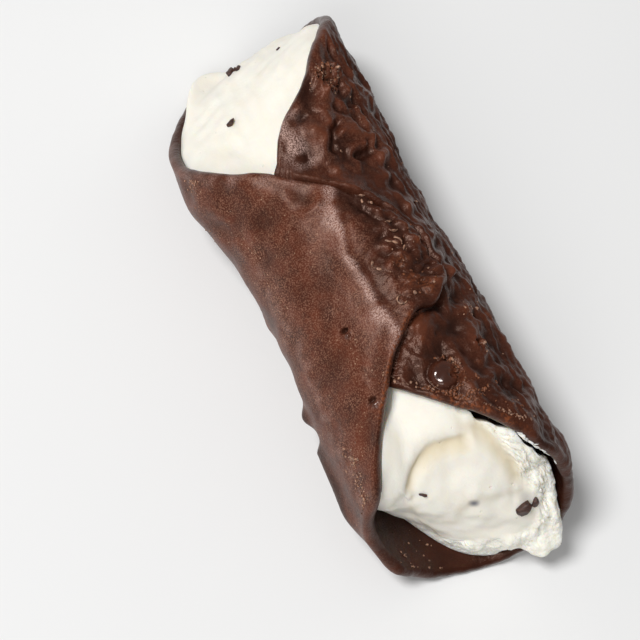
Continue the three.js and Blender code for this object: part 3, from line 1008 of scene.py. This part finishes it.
# painted shade in the swirl groove, on the terrace, at the dome's foot, along the layer edge and in the
# torn creases
shade = 0
for path, width, dark in (
    (SWIRL_GROOVE, 0.9, 0.85), (TERRACE, 1.5, 0.75), (DOME_FOOT, 1.2, 0.22), (LAYER_EDGE, 0.8, 0.25),
):
    shade = shade + dark * along_path(path, across, above, width)[0]
creases = torn_here * fall(0.1, 0.75, curds(across, above)) * (1 - 0.5 * rise(0, -5, above))
shade = np.where(in_front, np.clip(np.maximum(shade, 0.65 * creases), 0, 1), 0)
grey = bump(across, above, (-0.7, 3.4), 1.6) + 0.3 * bump(across, above, (9.9, 3.6), 2.0)
cream = make_piece("ricotta_cream", cream_points, cream_faces, {
    "torn": torn_here, "groove": shade, "chip_below": grey * in_front, "pocket_shade": cream_pocket_shade[::-1],
})
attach(cream, "root")
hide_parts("cream")

# %% [markdown]
# ## Ricotta cream
# Sieved ricotta beaten with sugar is a warm white paste. Light goes a millimetre or two
# into it and comes out softened, so its shadows are pale and yellowish and never grey. Its
# curds are 0.5 to 1 mm, smoothed where the nozzle passed and standing up in crumbs where it
# was torn. It is damp: a soft broad gloss, index 1.4.

# %% The ricotta material
CURD_MM = 0.8
BUBBLE_MM = 2.4
FLECK_MM = 1.1
CLOUD_MM = 6
RICOTTA_IOR = 1.4


def ricotta():
    r = Recipe("sweet_ricotta_cream")
    torn, groove, below, pocket_shade = map(r.painted, ("torn", "groove", "chip_below", "pocket_shade"))
    body = r.mix(r.remap(r.lumps(CLOUD_MM, 2.0), 0.3, 0.7), "#f6f2e7", "#f2ecdf")
    # the torn curds are painted whiter, standing in for light through them; grooves and creases get painted
    # shade; the cream deep under the roof gets painted shadow, dark brown; over a hidden chip the cream
    # shows grey
    for share, colour in ((torn, "#fcf8ec"), (groove, "#d9cbab"), (below, "#77767c"), (pocket_shade, "#2b1810")):
        body = r.mix(share, body, colour)
    flecks = r.remap(r.lumps(FLECK_MM, 2.0), 0.66, 0.74, top=0.55)
    body = r.mix(r.times(flecks, torn), body, "#cbb28c")
    # curds stand up where it was torn, and a few bubbles have burst
    surface = r.bump(r.lumps(CURD_MM, 3.0), r.times(torn, 0.5, 0.12), 0.5)
    distance, lot = r.grains(BUBBLE_MM)
    surface = r.bump(r.remap(distance, 0.05, 0.13), r.remap(lot, 0.78, 0.82, top=0.6), 0.3, surface)
    return r.finished({
        "Base Color": body, "Roughness": 0.5, "IOR": RICOTTA_IOR, "Normal": surface,
        "Subsurface Weight": 0.5, "Subsurface Radius": (1.0, 0.8, 0.55), "Subsurface Scale": 1.6 * MM,
    })


ricotta_cream = ricotta()
cream.data.materials.append(ricotta_cream)

# %% [markdown]
# ## Chips, flakes and smears
# Dark chocolate chips are pressed in the filling. Flakes, curled shavings and crumbs cling
# to the coat, orange crumbs of crust lie where it broke, and the spoon left streaks of
# filling on the shell's inner wall. Scattering instances would be quick, but the larger
# bits each have a place. So every bit is a small ball of points pushed out of round, and
# the bits of a kind are joined into one mesh.


# %% Chunks: balls pushed out of round
def unit(vector):
    return vector / np.linalg.norm(vector)


def ball(steps):
    """Points and faces of a round ball with `steps` rows."""
    rows = np.linspace(0, np.pi, steps + 1)[1:-1]
    cols = np.linspace(0, 2 * np.pi, 2 * steps, endpoint=False)
    row, col = np.meshgrid(rows, cols, indexing="ij")
    body = np.stack([np.sin(row) * np.cos(col), np.sin(row) * np.sin(col), np.cos(row)], -1).reshape(-1, 3)
    grid = np.arange(row.size).reshape(row.shape)
    after = np.roll(grid, -1, axis=1)
    faces = np.stack([grid[:-1], grid[1:], after[1:], after[:-1]], axis=-1).reshape(-1, 4).tolist()
    for p, q, low_p, low_q in zip(grid[0], after[0], grid[-1], after[-1]):
        faces += [[row.size, int(p), int(q)], [row.size + 1, int(low_q), int(low_p)]]
    return np.concatenate([body, [[0, 0, 1], [0, 0, -1]]]), faces


def chunk(size, seed, blocky, steps):
    """A broken lump: a ball pushed toward a block, cut by facets, then roughened."""
    chance = np.random.default_rng(seed)
    points, faces = ball(steps)
    boxed = points / np.abs(points).max(axis=1, keepdims=True)
    points = points * (1 - blocky) + boxed * blocky * 0.8
    for _ in range(5):
        facet = unit(chance.normal(size=3))
        beyond = np.maximum(0, points @ facet - chance.uniform(0.55, 0.8))
        points = points - beyond[:, None] * facet
    waves = chance.normal(size=(6, 3)) * 2.4
    phases = chance.uniform(0, 6.28, 6)
    rough = sum(np.cos(points @ w + p) for w, p in zip(waves, phases)) * 0.035
    return points * (1 + rough[:, None]) * np.array(size) / 2, faces


def turned(points, normal, spin):
    """Turns a chunk's z onto a surface normal, with a spin about it, in degrees."""
    swing = Vector(normal).to_track_quat("Z", "Y").to_matrix()
    whirl = Matrix.Rotation(math.radians(spin), 3, "Z")
    return points @ np.array(swing @ whirl).T


def stuck(place, size, seed, blocky, steps, spin, lift):
    """A chunk on a place (its point and its normal), with its middle `lift` mm above it."""
    here, normal = place
    points, faces = chunk(size, seed, blocky, steps)
    return turned(points, normal, spin) + here + normal * lift, faces


def joined(parts):
    """Points and faces of many parts as one."""
    points, faces, start = [], [], 0
    for part_points, part_faces in parts:
        points.append(part_points)
        faces += [[i + start for i in face] for face in part_faces]
        start += len(part_points)
    return np.concatenate(points), faces


# %% Places to put them
def on_cream(x, up, front):
    """The point of an end of the filling nearest to a place seen from there, and its normal."""
    rings = cream_rings[:front_count] if front else cream_rings[-BACK_RINGS:]
    gap = (rings[..., 0] - x) ** 2 + (rings[..., 2] - AXIS_HEIGHT - up) ** 2
    i, j = np.unravel_index(np.argmin(gap), gap.shape)
    i = min(max(i, 3), rings.shape[0] - 4)
    spread = rings[i - 3:i + 4, [(j - 3) % CREAM_SIDES, j, (j + 3) % CREAM_SIDES]]
    normal = unit(np.cross(spread[-1, 1] - spread[0, 1], spread[3, 2] - spread[3, 0]))
    toward = -1 if front else 1
    return rings[i, j], normal * (1 if normal[1] * toward > 0 else -1)


def on_coat(turn, y):
    """The mesh point of the coat nearest to a place on the sheet, and its normal."""
    i = int(np.clip(np.searchsorted(loop_turn[:, 0], turn), 3, len(loops) - 4))
    j = int(np.clip(np.searchsorted(loop_y[i, :OUTER_STEPS], y), 3, OUTER_STEPS - 4))
    here = loops[i, j]
    normal = unit(np.cross(loops[i + 2, j] - loops[i - 2, j], loops[i, j + 2] - loops[i, j - 2]))
    out = here - np.array([0, here[1], AXIS_HEIGHT])
    return here, normal * (1 if normal @ out > 0 else -1)


def inner_wall(turn, y):
    angle, y = np.array(turn + TONGUE_ANGLE), np.array(y)
    here = on_roll(angle, y, turn_radius(angle, y) + climb(turn) - SHEET_THICKNESS - 0.05)
    return here, -np.array([math.sin(math.radians(angle)), 0, math.cos(math.radians(angle))])


# %% Chips in the filling
CHIPS = [
    # (front?, across, above, length, width, thickness, spin, sunk share)
    (True, 9.5, 1.3, 4.3, 3.2, 2.2, 35, 0.1), (True, 11.9, 2.2, 3.1, 1.8, 1.2, 80, 0.15),
    (True, -10.1, 4.8, 1.9, 0.9, 0.8, 20, 0.2), (False, -10.7, 5.6, 2.6, 1.8, 1.3, 25, 0.1),
    (False, -1.4, -6.3, 3.2, 2.2, 2.0, 60, 0.5), (False, 0.2, -5.0, 2.8, 1.0, 1.0, 40, 0.35),
    (False, -0.6, -5.6, 1.2, 1.4, 1.0, 10, 0.3), (False, 8.0, 1.6, 1.9, 0.7, 0.7, 30, 0.2),
]
chips = []
for number, (front, x, up, *size, spin, sunk) in enumerate(CHIPS):
    lift = size[-1] * (0.28 - sunk * 0.6)
    chips.append(stuck(on_cream(x, up, front), size, 70 + number, 0.7, 12, spin, lift))
chip_piece = make_piece("chocolate_chips", *joined(chips))
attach(chip_piece, "root")

# %% Flakes on the coat
FLAKES = [
    # (turn, along, length, width, thickness, spin)
    (216, 13.3, 1.9, 0.8, 0.5, 20), (218, 11.2, 1.3, 0.7, 0.6, 100), (214.5, 12.2, 0.9, 0.6, 0.4, 60),
    (221, 5.8, 2.3, 0.6, 0.5, 70), (220.5, 3.6, 1.6, 0.55, 0.5, 100), (220, 2.1, 1.2, 0.6, 0.5, 40),
    (215.5, 1.9, 1.6, 0.5, 0.45, 10), (218, 1.2, 1.5, 0.5, 0.45, -25),
    (221.5, -0.4, 1.9, 0.5, 0.4, -60), (202.5, -0.8, 1.5, 0.6, 0.5, -20),
    (204.5, -2.4, 1.4, 0.7, 0.45, 30), (203, -1.9, 0.8, 0.5, 0.4, 80), (215, -10.2, 1.1, 0.9, 0.7, 0),
    (229, -6.2, 0.8, 0.6, 0.5, 30), (231, 0.2, 0.9, 0.7, 0.5, 10), (225, -9.6, 0.7, 0.6, 0.5, 0),
    (-103, -16.5, 0.9, 0.8, 0.7, 40), (-99, -15.2, 0.6, 0.5, 0.5, 10),
    (-115.5, -24.4, 1.1, 0.7, 0.6, 30), (-113.5, -25.2, 0.8, 0.6, 0.5, 70),
    (-118, -26.2, 0.6, 0.5, 0.4, 0), (-140, 24.2, 0.8, 0.6, 0.4, 30), (-105, 9.0, 1.2, 0.5, 0.5, 80),
    (-88, 26, 0.9, 0.5, 0.4, 60), (72, -48, 1.0, 0.6, 0.4, 30), (100, 46, 1.2, 0.7, 0.5, 0),
    (96, 22, 0.9, 0.7, 0.5, 45),
]
flakes = []
for number, (turn, y, *size, spin) in enumerate(FLAKES):
    flakes.append(stuck(on_coat(turn, y), size, 110 + number, 0.3, 8, spin, size[-1] * 0.12))


def curl(turn, y, across, thick, from_deg, to_deg):
    """A thin curled shaving lying on the coat: a bent bar, part of a ring."""
    here, normal = on_coat(turn, y)
    sweep = np.radians(np.linspace(from_deg, to_deg, 15))
    rounds = np.linspace(0, 2 * np.pi, 8, endpoint=False)
    taper = np.sin(np.linspace(0.25, np.pi - 0.25, 15)) ** 0.5
    rings = []
    for s, t in zip(sweep, taper):
        reach = across / 2 + thick * 0.5 * t * np.cos(rounds)
        tall = thick * 0.6 * t * np.sin(rounds)
        rings.append(np.stack([reach * math.cos(s), reach * math.sin(s), tall], axis=-1))
    points, faces = skin(np.array(rings))
    return turned(points, normal, 0) + here + normal * 0.12, faces


CURLS = [
    # (turn, along, width across, thickness, from degrees, to degrees)
    (207.5, -10.3, 2.0, 0.5, -140, 100), (218, 0.9, 2.6, 0.4, 20, 130), (143.5, -33.5, 1.7, 0.5, -30, 200),
    (221, 4.8, 3.0, 0.35, 100, 200),
]
flakes += [curl(*places) for places in CURLS]

# %% Crumbs on the coat
ANY_SEED = 1 << 30
CRUMB_LIFT = 0.03
CRUMB_FIELDS = [
    # (crust?, turn, along, spread round, spread along, how many, largest size)
    (False, 142.5, -34.2, 1.2, 1.6, 46, 0.75), (False, 139, -39.6, 1.0, 1.9, 44, 0.75),
    (False, 137, -44, 1.0, 1.4, 20, 0.6), (False, 136, 33.2, 1.3, 1.1, 66, 0.55),
    (False, 183, -22.6, 1.2, 1.6, 14, 0.45), (False, -128, 40.2, 1.9, 1.7, 34, 0.8),
    (False, 218, -2, 2.2, 2.6, 12, 0.6), (True, 220, -8, 2.2, 2.4, 14, 0.7),
    (False, 143, 5, 1.3, 8, 110, 0.36), (False, 118, 26, 1.6, 2.5, 18, 0.45),
    (False, -100, 0, 3.5, 26, 60, 0.42), (False, -104, 30, 3.5, 8, 40, 0.45),
    (True, 228, 1, 1.4, 6, 26, 0.6), (False, -60, 10, 6, 26, 36, 0.5), (False, 60, 0, 7, 30, 36, 0.5),
    (False, 172, 4, 7, 12, 22, 0.28), (False, -112, -16.8, 1.2, 1.0, 16, 0.6),
    (True, -152, -30.6, 3.0, 0.3, 60, 0.9), (True, -141, -33.6, 2.0, 0.5, 90, 1.0),
    (True, -131, -38.6, 3.0, 0.9, 50, 0.6), (False, -160, -28.4, 3.0, 0.4, 40, 0.8),
    (False, -124, -41.8, 3.0, 0.8, 40, 0.7), (True, -128, 40.2, 1.6, 1.5, 16, 0.7),
    (True, 183, -23.4, 1.6, 0.6, 16, 0.5), (True, -141.8, -27.8, 0.8, 1.4, 40, 0.7),
    (True, 218, -7, 1.0, 1.2, 12, 0.5), (True, -114, -24.4, 0.8, 0.8, 10, 0.6),
]
chance = np.random.default_rng(17)
crust = []
for of_crust, turn_at, y_at, spread, spread_y, count, largest in CRUMB_FIELDS:
    for _ in range(count):
        turn = turn_at + chance.normal() * spread / ARC
        inset = 0.4 + 2.4 * chance.random()
        y = np.clip(y_at + chance.normal() * spread_y, inset - front_rim(turn), back_rim(turn) - 0.9)
        size = largest * (0.3 + 0.8 * chance.random() ** 2)
        shape = size * np.array([chance.uniform(1, 1.5), chance.uniform(0.6, 1), chance.uniform(0.5, 0.8)])
        seed, place = int(chance.integers(ANY_SEED)), on_coat(turn, y)
        on_dome = math.hypot((turn - BIG_BLISTER[0]) * ARC + 0.4, y - BIG_BLISTER[1]) < 2.7
        if on_dome or place[0][2] < 0.5:
            continue
        placed = stuck(place, shape, seed, 0.4, 5, chance.uniform(0, 360), CRUMB_LIFT)
        (crust if of_crust else flakes).append(placed)

# %% Crumbly rings, and crumbs dropped in the hollow of the tongue
TONGUE_CRUMBS = 30
RINGS = [
    # (place, radius, middle direction, spread of directions, how many)
    (BIG_BLISTER, 3.35, 50, 34, 24), (CRATERS[1], 2.6, 20, 110, 38),
]
for ring, radius, middle, spread, count in RINGS:
    for around in np.radians(chance.normal(middle, spread, count)):
        reach = radius + 0.3 * chance.normal()
        size = 0.28 + 0.85 * chance.random() ** 2
        seed = int(chance.integers(ANY_SEED))
        place = on_coat(ring[0] + reach * math.sin(around) / ARC, ring[1] + reach * math.cos(around))
        kind = crust if chance.random() < 0.7 else flakes
        shape = (size * 1.4, size * 0.8, size * 0.6)
        kind.append(stuck(place, shape, seed, 0.3, 6, chance.uniform(0, 360), CRUMB_LIFT))

for number in range(TONGUE_CRUMBS):
    turn, y = 68 + 8 * chance.normal(), -55 + 3 * chance.normal()
    size = 0.2 + 0.5 * chance.random() ** 2
    place = inner_wall(turn, max(y, 1.5 - float(front_rim(turn))))
    shape, spin = (size * 1.5, size, size * 0.7), chance.uniform(0, 360)
    flakes.append(stuck(place, shape, 500 + number, 0.3, 5, spin, 0))
flake_piece = make_piece("chocolate_crumbs", *joined(flakes))
crust_piece = make_piece("crust_crumbs", *joined(crust))
for piece in (flake_piece, crust_piece):
    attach(piece, "root")

# %% [markdown]
# ## Broken chocolate
# A chip or crumb was snapped, not dipped, so it has no glossy coat. Chips are dark and dull.
# Crumbs are a lighter, redder brown with bright broken edges, and bare crust is orange.


# %% The broken chocolate materials
BREAK_MM = 0.5


def broken_chocolate(name, dark, light, lightest_at=0.7):
    r = Recipe(name)
    breaks = r.lumps(BREAK_MM, 3.0)
    return r.finished({
        "Base Color": r.mix(r.remap(breaks, 0.35, lightest_at), dark, light), "Roughness": 0.5,
        "IOR": CHOCOLATE_IOR, "Normal": r.bump(breaks, 0.5, 0.15),
    })


chip_piece.data.materials.append(broken_chocolate("snapped_dark_chocolate", "#2c1812", "#523226"))
flake_piece.data.materials.append(broken_chocolate("crumbled_couverture", "#40241a", "#b98d72", 0.66))
crust_piece.data.materials.append(broken_chocolate("fried_crust", "#472414", "#8d5331"))


# %% Streaks of filling on the inner wall
def on_cut_edge(turn, steps_in):
    """A point on the arm's front cut edge, its direction along the edge and its normal.

    0 is the outer side of the cut, RIM_STEPS - 1 the inner side, and more lies on the inner wall."""
    i, j = int(np.searchsorted(loop_turn[:, 0], turn)), -1 - int(steps_in)
    share = steps_in % 1
    here = loops[i, j] * (1 - share) + loops[i, j - 1] * share
    along = unit(loops[i + 2, j] - loops[i - 2, j])
    normal = unit(np.cross(along, loops[i, j - 1] - loops[i, j]))
    to_axis = unit(np.array([-here[0], 0, AXIS_HEIGHT - here[2]]))
    facing = normal @ (to_axis - np.array([0, 0.6, 0]))
    return here, along, normal * (1 if facing > 0 else -1)


def streak(turn, steps_in, length, width, tall, tilt, seed):
    """A streak of filling wiped on the cut edge or the inner wall of the shell."""
    here, along, normal = on_cut_edge(turn, steps_in)
    tilt = math.radians(tilt)
    ahead = along * math.cos(tilt) + np.cross(normal, along) * math.sin(tilt)
    points, faces = chunk((length, width, tall), seed, 0.1, 8)
    return points @ np.array([ahead, np.cross(normal, ahead), normal]) + here, faces


SMALL_SMEARS = 14
SMEARS = [
    # (turn, mesh steps in from the outer side, length, width, thickness, tilt)
    (-119.5, 5.2, 3.0, 1.9, 1.1, 25), (-117, 5.9, 2.4, 1.7, 0.9, -30), (-114.5, 5.0, 2.0, 1.1, 0.5, 35),
    (-110.5, 5.8, 2.6, 1.2, 0.6, 12), (-107.5, 5.0, 1.9, 0.9, 0.4, 30), (-102, 5.9, 2.2, 0.8, 0.4, 18),
    (-121.5, 4.4, 1.4, 0.9, 0.4, 50), (-112.5, 3.9, 1.5, 0.5, 0.25, 60), (-91, 6.1, 1.5, 0.5, 0.3, 15),
]
smears = [streak(*places, seed=200 + number) for number, places in enumerate(SMEARS)]
for number in range(SMALL_SMEARS):
    turn = chance.normal(-112, 6)
    length = chance.uniform(0.3, 1.1)
    steps_in, tilt = chance.uniform(4.4, 6.4), chance.uniform(0, 180)
    smears.append(streak(turn, steps_in, length, 0.7 * length + 0.08, 0.25, tilt, 300 + number))
smear_piece = make_piece("cream_smears", *joined(smears))
smear_piece.data.materials.append(ricotta_cream)
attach(smear_piece, "root")

# %% [markdown]
# ## Camera, floor and light
# The camera looks down at the front mouth from above and left, far enough off for a natural
# perspective. It is worked out from three angles, so that each can be corrected alone. The
# light is a window high on the left with a softer fill in front of it, and a bright room
# all round lifts the shadows, as on a white table by day.

# %% The camera
AROUND_ROLL = math.radians(-18.6)
FROM_AXIS = math.radians(78.5)
AXIS_IN_PICTURE = math.radians(27)
CAMERA_DISTANCE = 400
PICTURE_WIDTH = 640
PIXELS_PER_MM = 4.71
MIDDLE_PIXEL = (361, 290)
SENSOR_MM = 36

round_roll = Matrix.Rotation(AROUND_ROLL, 3, "Y")
raised_view = Matrix.Rotation(math.pi / 2 - FROM_AXIS, 3, "X")
facing = round_roll @ raised_view @ Matrix.Rotation(-AXIS_IN_PICTURE, 3, "Z")
right, up, toward = facing.col
middle = Vector((ORIGIN_SHIFT[0], ORIGIN_SHIFT[1], AXIS_HEIGHT))
shift_right, shift_down = [(pixel - PICTURE_WIDTH / 2) / PIXELS_PER_MM for pixel in MIDDLE_PIXEL]
station = middle + CAMERA_DISTANCE * toward - shift_right * right + shift_down * up
lens = bpy.data.cameras.new("camera")
lens.sensor_width = SENSOR_MM
lens.lens = PIXELS_PER_MM * CAMERA_DISTANCE / PICTURE_WIDTH * SENSOR_MM
lens.clip_start, lens.clip_end = 0.01, 10
camera = bpy.data.objects.new("camera", lens)
camera.matrix_world = Matrix.Translation(station * MM) @ facing.to_4x4()
bpy.context.scene.collection.objects.link(camera)
bpy.context.scene.camera = camera
print("lens:", round(lens.lens, 1), "mm, camera at", [round(v) for v in station], "mm")

# %% The table top
TABLE_CLOUD_MM = 90
bpy.ops.mesh.primitive_plane_add(size=6, location=(0, 0, 0))
table = bpy.context.object
table.name = "table_top"
laminate = Recipe("matt_white_laminate")
white = laminate.mix(laminate.lumps(TABLE_CLOUD_MM, 2.0), "#ececec", "#f0f0ef")
matt_white = laminate.finished({"Base Color": white, "Roughness": 0.6, "Specular IOR Level": 0.2})
table.data.materials.append(matt_white)

# %% The window light, a soft fill and the bright room
LIGHT_DISTANCE = 2
ROOM_STRENGTH = 0.2


def soft_light(name, come_from, size, energy):
    light = bpy.data.lights.new(name, "AREA")
    light.shape = "DISK"
    light.size = size
    light.energy = energy
    lamp = bpy.data.objects.new(name, light)
    direction = Vector(come_from).normalized()
    lamp.location = direction * LIGHT_DISTANCE
    lamp.rotation_mode = "QUATERNION"
    lamp.rotation_quaternion = direction.to_track_quat("Z", "Y")
    bpy.context.scene.collection.objects.link(lamp)
    print(name, "light:", energy, "W,", size, "m wide")


soft_light("window", (-0.42, 0.22, 0.88), size=0.6, energy=30.8)
soft_light("fill", (-0.60, -0.46, 0.66), size=1.2, energy=9.5)

room = bpy.data.worlds.new("bright_room")
room.use_nodes = True
background = room.node_tree.nodes["Background"]
background.inputs["Color"].default_value = (1.0, 1.0, 1.0, 1.0)
background.inputs["Strength"].default_value = ROOM_STRENGTH
bpy.context.scene.world = room
bpy.context.scene.view_settings.view_transform = "Standard"
